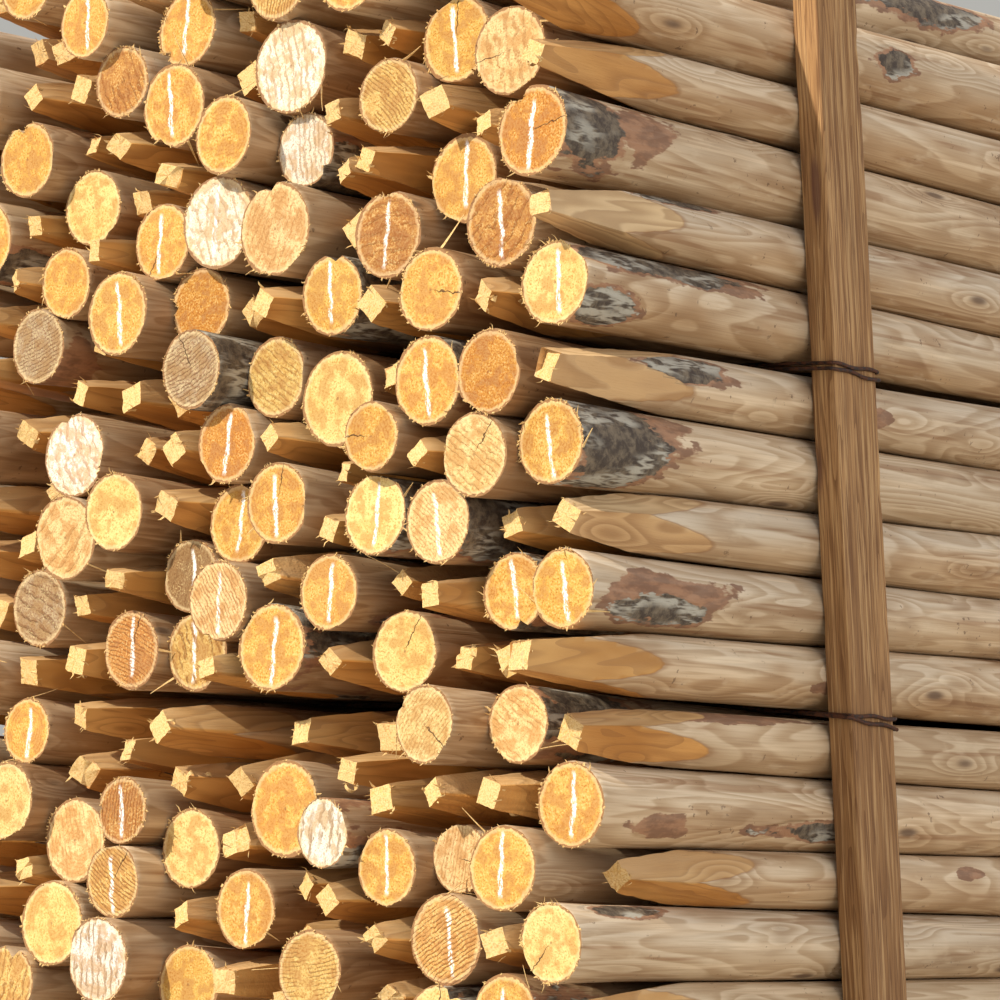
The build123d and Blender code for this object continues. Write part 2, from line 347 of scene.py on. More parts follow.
def make_post(post, look, seen, bark):
    """Vertices, faces, material numbers and attributes of one post."""
    butt, axis, side, radius = post
    third = np.cross(axis, side)
    rings = post_rings(seen)
    segments = 40 if seen else 32
    turn = np.arange(segments) * TURN / segments
    s, t = np.meshgrid(rings, turn, indexing="ij")

    stem = uneven_stem(look, radius, s, t)
    worn = worn_rim(look, turn)
    stem = stem * (1 + BUTT_SWELLING * np.exp(-s / SWELLING_RUN))
    stem = stem * (1 - worn * np.clip(1 - s / look["worn_length"], 0, 1) ** 0.7)

    # The point: four faces that run out on the round
    shoulder = radius - TAPER * (LENGTH - POINT)
    tip = TIP + look["tip_more"]
    half = tip + (shoulder - tip) * (LENGTH - s) / POINT
    quarter = np.round(t / (math.pi / 2)).astype(int) % 4
    flat = np.maximum(np.abs(np.cos(t)), np.abs(np.sin(t)))
    hewn = (half + chop_marks(quarter, s, t)) / flat
    depth = stem - hewn
    out = np.minimum(stem, hewn)

    # The butt is cut a little askew and has a ragged arris
    tilt = rng.uniform(-0.035, 0.035, 2)
    askew = tilt[0] * np.cos(t) + tilt[1] * np.sin(t)
    steep = math.hypot(*tilt)
    fade = np.clip(1 - s / 0.08, 0, 1)
    place = s + (askew + steep) * out * fade
    out[0] -= rng.uniform(0.0002, 0.0018, segments)

    # The end of the point is chopped off askew, with a small torn step
    slant, aim, torn = look["slant"], look["slant_turn"], look["step"]
    chopped = -slant * (0.5 + 0.5 * np.cos(turn - aim)) - rng.uniform(0, 0.0015, segments)
    chopped -= torn * (np.cos(turn - aim * 2) > 0.2)
    place[-1] += chopped

    flank = ring_points(place, out, t).reshape(-1, 3)
    discs = []
    for share in DISC_SHARES:
        ring_out = out[0] * share
        ring_place = (askew[0] + steep) * ring_out + steep * (out[0] - ring_out)
        ring_place += rng.uniform(-0.0003, 0.0005, segments)
        discs.append(ring_points(ring_place, ring_out, turn))
    ring_place = LENGTH - slant * 0.5 + (chopped + slant * 0.5) * TIP_SHARE
    ring_place += rng.uniform(-0.001, 0.0, segments)
    tip_ring = ring_points(ring_place, out[-1] * TIP_SHARE, turn)
    butt_centre = [[steep * radius, 0, 0]]
    tip_centre = [[LENGTH - slant * 0.5 - torn * 0.5, 0, 0]]
    local = np.concatenate([flank, *discs, butt_centre, tip_ring, tip_centre])

    # Attributes that the materials read
    total, base = len(local), len(flank)
    grain = local.copy()
    grain[:, 0] += rng.uniform(0, 40)
    depth_all = np.full(total, INSIDE)
    depth_all[:base] = np.clip(depth.reshape(-1) * 1000, -6, 6)
    stripe_turn = math.atan2(third[2], side[2]) + look["stripe_turn"]
    upward, across = in_butt_plane(local, stripe_turn)
    across = across + look["stripe_shift"]
    upward = upward / radius + look["stripe_rise"]
    u, v = in_butt_plane(local, look["kerf_turn"])
    bent = (u + 3.0 * v**2 * look["kerf_bend"]) * look["kerf_pitch"]
    rim = np.hypot(local[:, 1], local[:, 2]) / radius
    high = np.cos(t) * side[2] + np.sin(t) * third[2]
    near = -(np.cos(t) * side[1] + np.sin(t) * third[1])
    face_turn = quarter * math.pi / 2
    face_high = np.cos(face_turn) * side[2] + np.sin(face_turn) * third[2]
    high = np.where(depth > 0, face_high, high)
    front = s if axis[0] > 0 else LENGTH - s
    old, young = bark(front, np.degrees(np.arctan2(near, high)))
    peel = np.full((total, 3), BARE)
    peel[:base] = np.stack([old, young, high], axis=-1).reshape(-1, 3)
    world = butt + local[:, :1] * axis + local[:, 1:2] * side + local[:, 2:3] * third
    return {
        "points": world, "grain": grain, "depth": depth_all, "peel": peel,
        "mark": columns(total, across, upward, look["stripe"]),
        "cut": columns(total, bent, v, look["kerf"]),
        "face": columns(total, rim, look["crack"], look["rings"]),
        "tint": columns(total, *look["tint"]),
        "tone_and_shade": columns(total, look["grey"], look["warm_and_bounce"], look["dark_and_shade"]),
        "butt": butt, "axis": axis, "rim_points": world[:segments],
        "tip_points": world[base - segments:base], **post_faces(len(rings), segments),
    }


# Loose wood at the ends of a post

def loose_wood(points, quads, tris, tint):
    """A piece of splinters, with the attributes that the materials read."""
    total = len(points)
    attributes = {key: np.zeros((total, 3)) for key in VECTORS}
    attributes["tint"] = np.tile(tint, (total, 1))
    attributes["grain"] = points.copy()
    return {
        "points": points, "quads": quads, "quad_kinds": np.full(len(quads), SPLINTER),
        "tris": tris, "tri_kinds": np.full(len(tris), SPLINTER),
        "depth": np.full(total, INSIDE), **attributes,
    }


def fibres(piece, look):
    """Splinters round the rim of a butt and on the chopped end of a point."""
    butt, axis = piece["butt"], piece["axis"]
    ring, corners = piece["rim_points"], piece["tip_points"]
    segments = len(ring)
    roots, tips, widths, sides = [], [], [], []
    tufts = rng.uniform(0, segments, 5)
    for _ in range(look["fuzz"]):
        at = rng.uniform(0, segments)
        if rng.uniform() < 0.6:
            at = (rng.choice(tufts) + rng.normal(0, 1.2)) % segments
        i = int(at) % segments
        root = ring[i] + (ring[(i + 1) % segments] - ring[i]) * (at % 1)
        out = unit(root - butt)
        around = np.cross(axis, out)
        way = unit(out * rng.uniform(-0.2, 0.9) - axis * rng.uniform(0.1, 1.0)
                   + around * rng.uniform(-0.8, 0.8))
        short = rng.uniform() < 0.93
        long = rng.uniform(0.001, 0.0045) if short else rng.uniform(0.006, 0.014)
        roots.append(root - out * 0.0008)
        tips.append(root + way * long)
        widths.append(rng.uniform(0.0006, 0.0018))
        sides.append(around)
    centre = butt + axis * LENGTH
    for _ in range(look["splinters"]):
        root = corners[rng.integers(segments)]
        out = unit(root - centre)
        around = np.cross(axis, out)
        way = unit(axis * rng.uniform(0.2, 1.0) + out * rng.uniform(-0.5, 0.9)
                   + around * rng.uniform(-0.6, 0.6))
        roots.append(root - axis * rng.uniform(0, 0.012))
        tips.append(root + way * rng.uniform(0.002, 0.012))
        widths.append(rng.uniform(0.0005, 0.0022))
        sides.append(around)
    roots, tips, widths, sides = (np.array(v) for v in (roots, tips, widths, sides))

    # Each is a bent three-sided prism that ends in a tip
    widths = widths[:, None]
    lift = np.cross(sides, tips - roots)
    lift /= np.linalg.norm(lift, axis=1)[:, None]
    bend = (roots + tips) / 2 + rng.uniform(-0.0016, 0.0016, roots.shape)
    points = np.stack([
        roots - sides * widths, roots + sides * widths, roots + lift * widths * 0.8,
        bend - sides * widths * 0.7, bend + sides * widths * 0.7, bend + lift * widths * 0.5,
        tips,
    ], axis=1)
    start = np.arange(len(points))[:, None] * points.shape[1]
    quads = [start + np.array([q]) for q in ([0, 1, 4, 3], [1, 2, 5, 4], [2, 0, 3, 5])]
    tris = [start + np.array([q]) for q in ([0, 2, 1], [3, 4, 6], [4, 5, 6], [5, 3, 6])]
    tint = look["tint"] * 0.6 + np.array((0.30, 0.22, 0.10))
    return loose_wood(points.reshape(-1, 3), np.concatenate(quads), np.concatenate(tris), tint)


def ribbon(path, across, widths):
    """A closed thin strip along a path of points."""
    run = np.gradient(path, axis=0)
    face = np.cross(run, across)
    face /= np.linalg.norm(face, axis=1)[:, None] + 1e-9
    reach = across * widths[:, None]
    thick = face * SHAVING
    points = np.stack([
        path - reach - thick, path + reach - thick, path + reach + thick, path - reach + thick,
    ], axis=1)
    start = np.arange(len(path) - 1)[:, None] * 4
    quads = [start + np.array([i, (i + 1) % 4, 4 + (i + 1) % 4, 4 + i]) for i in range(4)]
    ends = [np.array([[3, 2, 1, 0]]), np.array([[0, 1, 2, 3]]) + (len(path) - 1) * 4]
    return points.reshape(-1, 3), np.concatenate(quads + ends)


def shavings(piece, look):
    """Curled chips that hang on a chopped point, and straws drawn out of a sawn rim."""
    butt, axis = piece["butt"], piece["axis"]
    rims, corners = piece["rim_points"], piece["tip_points"]
    strips = []
    for _ in range(look["curls"]):
        corner = corners[rng.integers(len(corners))] - axis * rng.uniform(0.0, 0.07)
        out = unit(corner - (butt + axis * ((corner - butt) @ axis)))
        around = np.cross(axis, out)
        steps = np.linspace(0, 1, 14)
        radius = rng.uniform(0.004, 0.011) * (1 - 0.55 * steps)
        turn = steps * rng.uniform(1.5, 5.5)
        path = corner + out * (radius * np.sin(turn))[:, None]
        path += axis * (radius * (1 - np.cos(turn)))[:, None]
        path += around * (steps * rng.uniform(-0.008, 0.008))[:, None]
        widths = rng.uniform(0.0015, 0.0045) * (1.05 - 0.8 * steps)
        strips.append(ribbon(path, around, widths))
    for _ in range(look["straws"]):
        rim = rims[rng.integers(len(rims))]
        out = unit(rim - butt)
        around = np.cross(axis, out)
        steps = np.linspace(0, 1, 7)
        long = rng.uniform(0.015, 0.05)
        way = unit(axis * rng.uniform(-0.3, 1.0) + around * rng.uniform(-0.6, 0.6) + out * 0.25)
        path = rim + out * 0.0006 + way * (long * steps)[:, None]
        path += out * (rng.uniform(0.001, 0.005) * steps**2)[:, None]
        widths = rng.uniform(0.0006, 0.0018) * (1.1 - 0.9 * steps)
        strips.append(ribbon(path, unit(np.cross(way, out)), widths))
    if not strips:
        return None
    points, quads, start = [], [], 0
    for strip_points, strip_quads in strips:
        points.append(strip_points)
        quads.append(strip_quads + start)
        start += len(strip_points)
    tint = look["tint"] * 0.4 + np.array((0.45, 0.35, 0.19))
    return loose_wood(np.concatenate(points), np.concatenate(quads), np.zeros((0, 3), int), tint)


# Objects

def add_object(name, data):
    obj = bpy.data.objects.new(name, data)
    bpy.context.scene.collection.objects.link(obj)
    return obj


def add_attribute(mesh, name, kind, part, values):
    """A mesh attribute with a value for each point."""
    layer = mesh.attributes.new(name, kind, "POINT")
    layer.data.foreach_set(part, values.astype(np.float32).reshape(-1))


def shade(mesh, sharp):
    """Smooth shading up to a sharp angle in degrees."""
    mesh.shade_smooth()
    mesh.set_sharp_from_angle(angle=math.radians(sharp))


def join_posts(name, made, materials):
    """One mesh object of several made pieces."""
    quads, tris, start = [], [], 0
    for piece in made:
        quads.append(piece["quads"] + start)
        tris.append(piece["tris"] + start)
        start += len(piece["points"])
    quads, tris = np.concatenate(quads), np.concatenate(tris)
    joined = {key: np.concatenate([piece[key] for piece in made])
              for key in ("points", "quad_kinds", "tri_kinds", "depth", *VECTORS)}
    points = joined["points"]
    points[:, 2] = np.maximum(points[:, 2], FLOOR_GAP)
    kinds = np.concatenate([joined["quad_kinds"], joined["tri_kinds"]])
    corners = np.concatenate([quads.reshape(-1), tris.reshape(-1)])
    sizes = np.repeat([4, 3], [len(quads), len(tris)])
    starts = np.concatenate([[0], np.cumsum(sizes)[:-1]])
    mesh = bpy.data.meshes.new(name)
    mesh.vertices.add(len(points))
    mesh.vertices.foreach_set("co", points.astype(np.float32).reshape(-1))
    mesh.loops.add(len(corners))
    mesh.loops.foreach_set("vertex_index", corners.astype(np.int32))
    mesh.polygons.add(len(sizes))
    mesh.polygons.foreach_set("loop_start", starts.astype(np.int32))
    mesh.polygons.foreach_set("material_index", kinds.astype(np.int32))
    mesh.update(calc_edges=True)
    for key in VECTORS:
        add_attribute(mesh, key, "FLOAT_VECTOR", "vector", joined[key])
    add_attribute(mesh, "depth", "FLOAT", "value", joined["depth"])
    for material in materials:
        mesh.materials.append(material)
    shade(mesh, 32)
    return add_object(name, mesh)


# Materials

class Nodes:
    """Short calls for building a material's nodes."""

    def __init__(self, name):
        self.material = bpy.data.materials.new(name)
        self.material.use_nodes = True
        self.tree = self.material.node_tree
        self.tree.nodes.clear()
        output = self.add("ShaderNodeOutputMaterial")
        self.shader = self.add("ShaderNodeBsdfPrincipled")
        self.tree.links.new(self.shader.outputs[0], output.inputs[0])

    def add(self, kind, **values):
        node = self.tree.nodes.new(kind)
        for key, value in values.items():
            setattr(node, key, value)
        return node

    def put(self, socket, value):
        if isinstance(value, bpy.types.NodeSocket):
            self.tree.links.new(value, socket)
        else:
            socket.default_value = value

    def fill(self, node, *values):
        """A node's first inputs filled in their order, and its first output."""
        for socket, value in zip(node.inputs, values):
            self.put(socket, value)
        return node.outputs[0]

    def attribute(self, name, part="Vector"):
        return self.add("ShaderNodeAttribute", attribute_name=name).outputs[part]

    def split(self, vector):
        node = self.add("ShaderNodeSeparateXYZ")
        self.put(node.inputs[0], vector)
        return node.outputs

    def join(self, x, y, z):
        return self.fill(self.add("ShaderNodeCombineXYZ"), x, y, z)

    def math(self, operation, *values):
        return self.fill(self.add("ShaderNodeMath", operation=operation), *values)

    def times(self, first, second):
        return self.math("MULTIPLY", first, second)

    def plus(self, first, second):
        return self.math("ADD", first, second)

    def minus(self, first, second):
        return self.math("SUBTRACT", first, second)

    def swing(self, noise, reach):
        """A noise moved to lie about zero, times a reach."""
        return self.times(self.minus(noise, 0.5), reach)

    def scale(self, vector, factors):
        return self.fill(self.add("ShaderNodeVectorMath", operation="MULTIPLY"), vector, factors)

    def shift(self, vector, offset):
        return self.fill(self.add("ShaderNodeVectorMath", operation="ADD"), vector, offset)

    def noise(self, vector, scale, detail=2.0, rough=0.5, warp=0.0):
        node = self.add("ShaderNodeTexNoise")
        for key, value in (("Vector", vector), ("Scale", scale), ("Detail", detail),
                           ("Roughness", rough), ("Distortion", warp)):
            self.put(node.inputs[key], value)
        return node.outputs[0]

    def drawn(self, vector, along, across, *settings):
        """A noise drawn out along the grain, by its scales along and across it."""
        return self.noise(self.scale(vector, (along, across, across)), 1.0, *settings)

    def cells(self, vector, along, across):
        """The distance to the nearest of scattered points, drawn out along the grain."""
        node = self.add("ShaderNodeTexVoronoi")
        self.put(node.inputs["Vector"], self.scale(vector, (along, across, across)))
        self.put(node.inputs["Scale"], 1.0)
        return node.outputs["Distance"]

    def ramp(self, value, low, high, start=0.0, end=1.0):
        """A value that goes smoothly from start to end between low and high."""
        node = self.add("ShaderNodeMapRange", interpolation_type="SMOOTHSTEP")
        return self.fill(node, value, low, high, start, end)

    def fall(self, value, low, high):
        return self.ramp(value, low, high, 1.0, 0.0)

    def mix(self, factor, first, second, blend="MIX"):
        node = self.add("ShaderNodeMix", data_type="RGBA", blend_type=blend)
        for index, value in ((0, factor), (6, first), (7, second)):
            if isinstance(value, tuple):
                value = (*value, 1.0)
            self.put(node.inputs[index], value)
        return node.outputs[2]

    def lay(self, color, other, mask, share):
        """A colour with another laid over it, as far as a mask and a share say."""
        return self.mix(self.times(mask, share), color, other)

    def dyed(self, color, dye):
        return self.mix(1.0, color, dye, "MULTIPLY")

    def stain(self, color, dye, mask, share):
        """A colour with its dyed self laid over it."""
        return self.lay(color, self.dyed(color, dye), mask, share)

    def finish(self, color, roughness, height=None, distance=0.001, strength=1.0):
        self.put(self.shader.inputs["Base Color"], color)
        self.put(self.shader.inputs["Roughness"], roughness)
        self.shader.inputs["Specular IOR Level"].default_value = 0.3
        if height is not None:
            bump = self.add("ShaderNodeBump")
            bump.inputs["Strength"].default_value = strength
            bump.inputs["Distance"].default_value = distance
            self.put(bump.inputs["Height"], height)
            self.put(self.shader.inputs["Normal"], bump.outputs[0])
        return self.material


def stem_material():
    """Peeled round wood, its hewn point, and the bark left on it."""
    m = Nodes("post_peeled_wood")
    grain = m.attribute("grain")
    # The tone attribute holds weathered grey, warmth and darkness; on posts inside the stack the
    # warmth is painted bounce light and the darkness is painted shade
    grey, warm_and_bounce, dark_and_shade = m.split(m.attribute("tone_and_shade"))
    old, young, high = m.split(m.attribute("peel"))
    fibre = m.drawn(grain, 9.0, 420.0, 2.0, 0.6)
    blotch = m.drawn(grain, 5.0, 18.0, 2.0, 0.6)
    broad = m.drawn(m.shift(grain, (7.0, 3.0, 1.0)), 1.3, 9.0, 1.0)
    streak = m.drawn(m.shift(grain, (2.0, 9.0, 4.0)), 3.0, 60.0, 2.0, 0.6)
    dust = m.drawn(grain, 16.0, 50.0, 3.0, 0.6)
    scales = m.drawn(grain, 70.0, 70.0, 3.0, 0.68)

    # Flame grain: the contour lines of a field drawn out along the stem, bent round knots
    knots = m.cells(grain, 4.4, 15.0)
    field = m.drawn(grain, 1.5, 13.0, 2.0, 0.45, 0.45)
    field = m.plus(field, m.times(m.fall(knots, 0.0, 0.42), 0.18))
    lines = m.math("FRACT", m.times(field, 15.0))
    late = m.times(m.ramp(lines, 0.0, 0.8), m.fall(lines, 0.86, 1.0))

    # Weathered grey on top; warmer and darker underneath, partly the wood's own colour and
    # partly painted shade and warm bounce light; with blotches, streaks and knots
    color = m.mix(m.ramp(broad, 0.35, 0.65), (0.76, 0.59, 0.385), (0.59, 0.445, 0.28))
    underside_tint_and_shade = m.fall(m.plus(high, m.swing(broad, 1.6)), -0.75, 0.30)
    color = m.lay(color, (0.62, 0.52, 0.39), grey, m.minus(1.0, m.times(underside_tint_and_shade, 0.8)))
    # The warm dark colour laid on the underside is partly painted shade and painted bounce light
    color = m.lay(color, (0.40, 0.225, 0.09), m.times(warm_and_bounce, underside_tint_and_shade), 0.8)
    warm_blotch = m.times(warm_and_bounce, m.ramp(blotch, 0.45, 0.75))
    color = m.lay(color, (0.50, 0.27, 0.095), warm_blotch, 0.7)
    color = m.stain(color, (0.56, 0.43, 0.29), late, 0.55)
    color = m.lay(color, (0.24, 0.145, 0.075), m.ramp(blotch, 0.54, 0.70), 0.45)
    color = m.stain(color, (0.52, 0.34, 0.20), m.ramp(streak, 0.58, 0.68), 0.55)
    color = m.lay(color, (0.86, 0.68, 0.46), m.fall(streak, 0.32, 0.42), 0.4)
    pecks = m.times(m.ramp(scales, 0.655, 0.68), m.ramp(blotch, 0.44, 0.56))
    color = m.lay(color, (0.13, 0.07, 0.035), pecks, 0.65)
    color = m.lay(color, (0.80, 0.66, 0.46), m.ramp(dust, 0.56, 0.72), 0.22)
    color = m.stain(color, (0.6, 0.5, 0.4), m.ramp(fibre, 0.45, 0.7), 0.28)
    color = m.lay(color, (0.11, 0.06, 0.035), m.fall(knots, 0.05, 0.13), 0.8)
    # Darkening by the tone: on posts inside the stack it is painted shade
    color = m.mix(dark_and_shade, color, m.dyed(color, (0.45, 0.30, 0.17)))

    # Hewn faces show fresh wood inside a line of inner bark
    depth = m.plus(m.attribute("depth", "Fac"), m.swing(dust, 1.2))
    hewn = m.ramp(depth, -0.1, 0.25)
    wood = m.mix(m.ramp(blotch, 0.35, 0.65), (0.66, 0.36, 0.11), (0.47, 0.22, 0.05))
    wood = m.lay(wood, (0.33, 0.145, 0.035), m.ramp(streak, 0.45, 0.75), 0.55)
    wood = m.lay(wood, (0.26, 0.11, 0.03), m.ramp(lines, 0.55, 1.0), 0.4)
    pale_wood = m.lay((0.66, 0.48, 0.27), (0.38, 0.24, 0.12), late, 0.7)
    # Hewn faces are paler on top: partly weathering, partly painted light
    pale_top_and_light = m.times(m.ramp(high, -0.2, 0.5), 0.45)
    pale = m.math("MAXIMUM", pale_top_and_light, m.ramp(grey, 0.45, 0.95, 0.0, 0.85))
    wood = m.mix(pale, wood, pale_wood)
    # Hewn faces that look down are darkened and warmed: painted shade and painted bounce light
    wood = m.stain(wood, (0.80, 0.58, 0.36), m.fall(high, -0.6, 0.1), 0.5)
    edge = m.times(m.ramp(depth, -1.2, -0.05), m.fall(depth, 0.0, 0.7))
    color = m.lay(m.mix(hewn, color, wood), (0.27, 0.12, 0.04), edge, 0.5)

    # Bark in patches: a red-brown inner bark at their edge, grey scales over it
    patch = m.drawn(grain, 26.0, 70.0, 3.0, 0.62)
    wide_patch = m.drawn(grain, 9.0, 26.0, 1.0)
    ragged = m.plus(m.swing(patch, 0.9), m.swing(wide_patch, 1.1))
    young = m.plus(young, ragged)
    crust = m.ramp(old, 0.10, 0.30)
    old = m.plus(old, ragged)
    whole = m.minus(1.0, hewn)
    inner = m.math("MAXIMUM", m.ramp(young, 0.16, 0.24), m.ramp(old, 0.02, 0.10))
    inner = m.times(inner, whole)
    outer = m.times(m.ramp(old, 0.20, 0.26), whole)
    ribs = m.drawn(grain, 26.0, 120.0, 2.0, 0.6, 0.4)
    silver = m.ramp(wide_patch, 0.44, 0.60)
    bark = m.mix(m.ramp(scales, 0.35, 0.7), (0.060, 0.042, 0.030), (0.19, 0.145, 0.095))
    bark = m.lay(bark, (0.42, 0.385, 0.31), silver, m.ramp(ribs, 0.42, 0.58))
    bast = m.mix(m.ramp(patch, 0.4, 0.62), (0.34, 0.165, 0.085), (0.19, 0.085, 0.045))
    color = m.mix(outer, m.lay(color, bast, inner, 0.85), bark)
    relief = m.times(crust, m.plus(m.times(scales, 2.0), 0.8))
    height = m.plus(m.times(fibre, 0.5), relief)
    return m.finish(color, 0.62, height, 0.0014, 0.9)


def butt_material():
    """A sawn butt: growth rings, saw kerfs, a bark rim, drying cracks and a stripe of paint."""
    m = Nodes("post_sawn_end")
    flat = m.scale(m.attribute("grain"), (0.2, 1.0, 1.0))
    tint = m.attribute("tint")
    rim, crack, ringed = m.split(m.attribute("face"))
    u, v, kerf = m.split(m.attribute("cut"))
    across, upward, stripe = m.split(m.attribute("mark"))
    soft = m.noise(flat, 26.0, 2.0)
    fine = m.noise(flat, 380.0, 2.0, 0.7)
    grit = m.noise(flat, 760.0, 2.0, 0.7)
    patches = m.noise(m.shift(flat, (3.0, 5.0, 2.0)), 48.0, 2.0, 0.6)
    broad = m.noise(m.shift(flat, (1.0, 2.0, 7.0)), 20.0, 1.0)

    # Growth rings, uneven in width and strength
    wobble = m.plus(m.swing(soft, 0.5), m.swing(fine, 0.05))
    rings = m.math("SINE", m.times(m.math("POWER", m.plus(rim, wobble), 0.8), 62.0))
    rings = m.times(m.ramp(rings, 0.1, 0.95), m.times(ringed, m.ramp(patches, 0.35, 0.6)))

    # Saw kerfs, ridges a few millimetres apart that come and go
    drift = m.swing(m.noise(flat, 70.0, 1.0), 0.006)
    wave = m.math("SINE", m.times(m.plus(u, drift), 1420.0))
    streak = m.noise(m.join(m.times(u, 520.0), m.times(v, 34.0), crack), 1.0, 2.0, 0.6)
    ridges = m.plus(m.times(wave, 0.22), streak)
    ridges = m.times(m.ramp(ridges, 0.54, 0.76), m.times(kerf, m.ramp(broad, 0.30, 0.45)))

    # Mottled wood, darker in the rings, the kerfs and the grit
    color = m.stain(tint, (0.92, 0.74, 0.50), m.ramp(broad, 0.42, 0.62), 0.45)
    light = m.mix(0.55, color, (0.84, 0.66, 0.29))
    color = m.lay(color, light, m.ramp(patches, 0.5, 0.62), 0.55)
    deep = m.dyed(tint, (0.62, 0.40, 0.24))
    color = m.lay(color, deep, rings, 0.55)
    color = m.lay(color, m.dyed(tint, (0.42, 0.27, 0.17)), ridges, 0.85)
    light = m.mix(0.6, color, (0.86, 0.69, 0.32))
    color = m.lay(color, light, m.ramp(fine, 0.52, 0.64), 0.6)
    color = m.lay(color, deep, m.fall(fine, 0.36, 0.47), 0.85)
    mottle = m.plus(patches, m.times(fine, 0.35))
    color = m.lay(color, deep, m.ramp(mottle, 0.66, 0.76), 0.65)
    color = m.lay(color, m.dyed(tint, (0.40, 0.24, 0.13)), m.ramp(grit, 0.58, 0.70), 0.55)

    # The pith, and a crack from it to the rim
    pith = m.fall(m.plus(rim, m.swing(fine, 0.06)), 0.02, 0.05)
    color = m.lay(color, (0.20, 0.08, 0.025), pith, 0.55)
    jag = m.swing(m.noise(flat, 130.0, 1.0), 0.008)
    split = m.fall(m.math("ABSOLUTE", m.plus(v, jag)), 0.0002, 0.0009)
    split = m.times(m.times(split, m.ramp(u, 0.0, 0.01)), crack)
    color = m.lay(color, (0.10, 0.04, 0.015), split, 0.9)

    # The rim keeps a line of bark, frayed and lighter inside it
    frayed = m.plus(rim, m.swing(m.noise(flat, 150.0, 2.0), 0.14))
    color = m.lay(color, (0.80, 0.62, 0.34), m.ramp(frayed, 0.84, 0.93), 0.4)
    color = m.lay(color, (0.26, 0.12, 0.045), m.ramp(frayed, 0.945, 0.975), 0.9)

    # Paint dragged over the ridges
    wander = m.swing(m.noise(flat, 38.0, 1.0), 0.012)
    edge = m.plus(m.math("ABSOLUTE", m.plus(across, wander)), m.swing(fine, 0.008))
    paint = m.fall(edge, 0.0017, 0.0040)
    worn = m.noise(m.join(m.times(across, 260.0), m.times(upward, 5.0), crack), 1.0, 3.0, 0.7)
    paint = m.times(m.times(paint, m.ramp(worn, 0.38, 0.50)), stripe)
    paint = m.times(paint, m.minus(1.0, m.times(ridges, 0.9)))
    paint = m.times(paint, m.fall(m.math("ABSOLUTE", upward), 0.66, 0.84))
    color = m.lay(color, (0.86, 0.83, 0.78), paint, 0.92)
    height = m.plus(m.times(ridges, -0.9), m.times(fine, 0.6))
    height = m.minus(height, m.times(split, 2.0))
    return m.finish(color, 0.72, height, 0.0011, 1.0)


def splinter_material():
    """The torn ends of points and loose fibres."""
    m = Nodes("post_splinter_wood")
    grain = m.attribute("grain")
    streak = m.drawn(grain, 60.0, 500.0, 2.0)
    patch = m.noise(grain, 160.0, 2.0)
    color = m.mix(m.ramp(streak, 0.4, 0.7), (0.72, 0.50, 0.22), (0.55, 0.31, 0.10))
    color = m.lay(color, m.attribute("tint"), m.ramp(patch, 0.5, 0.7), 0.5)
    return m.finish(color, 0.75, streak, 0.0008, 0.7)


def batten_material():
    """Sawn reddish batten with stringy grain and a few knots."""
    m = Nodes("batten_sawn_wood")
    grain = m.attribute("grain")
    field = m.drawn(grain, 1.4, 22.0, 2.0, 0.5, 0.2)
    lines = m.math("FRACT", m.times(field, 16.0))
    fibre = m.drawn(grain, 10.0, 650.0, 3.0, 0.65)
    string = m.drawn(grain, 5.0, 180.0, 2.0, 0.6)
    broad = m.drawn(grain, 2.0, 9.0, 2.0)
    color = m.mix(m.ramp(broad, 0.38, 0.62), (0.39, 0.210, 0.082), (0.27, 0.135, 0.048))
    color = m.lay(color, (0.15, 0.062, 0.018), m.ramp(lines, 0.5, 1.0), 0.75)
    color = m.lay(color, (0.54, 0.33, 0.145), m.ramp(string, 0.50, 0.62), 0.6)
    color = m.lay(color, (0.14, 0.060, 0.022), m.ramp(fibre, 0.48, 0.62), 0.75)
    knot = m.fall(m.cells(grain, 2.4, 14.0), 0.07, 0.14)
    color = m.lay(color, (0.12, 0.05, 0.03), knot, 0.8)
    height = m.plus(fibre, m.times(string, 0.8))
    return m.finish(color, 0.7, height, 0.0009, 0.8)


def wire_material():
    """Dark annealed wire with a bloom of rust."""
    m = Nodes("tie_dark_wire")
    where = m.add("ShaderNodeTexCoord").outputs["Object"]
    rust = m.noise(where, 160.0, 3.0, 0.6)
    color = m.mix(m.ramp(rust, 0.38, 0.60), (0.030, 0.020, 0.017), (0.105, 0.042, 0.022))
    m.shader.inputs["Metallic"].default_value = 0.6
    return m.finish(color, m.ramp(rust, 0.3, 0.7, 0.35, 0.7), rust, 0.0004, 0.5)


# The posts

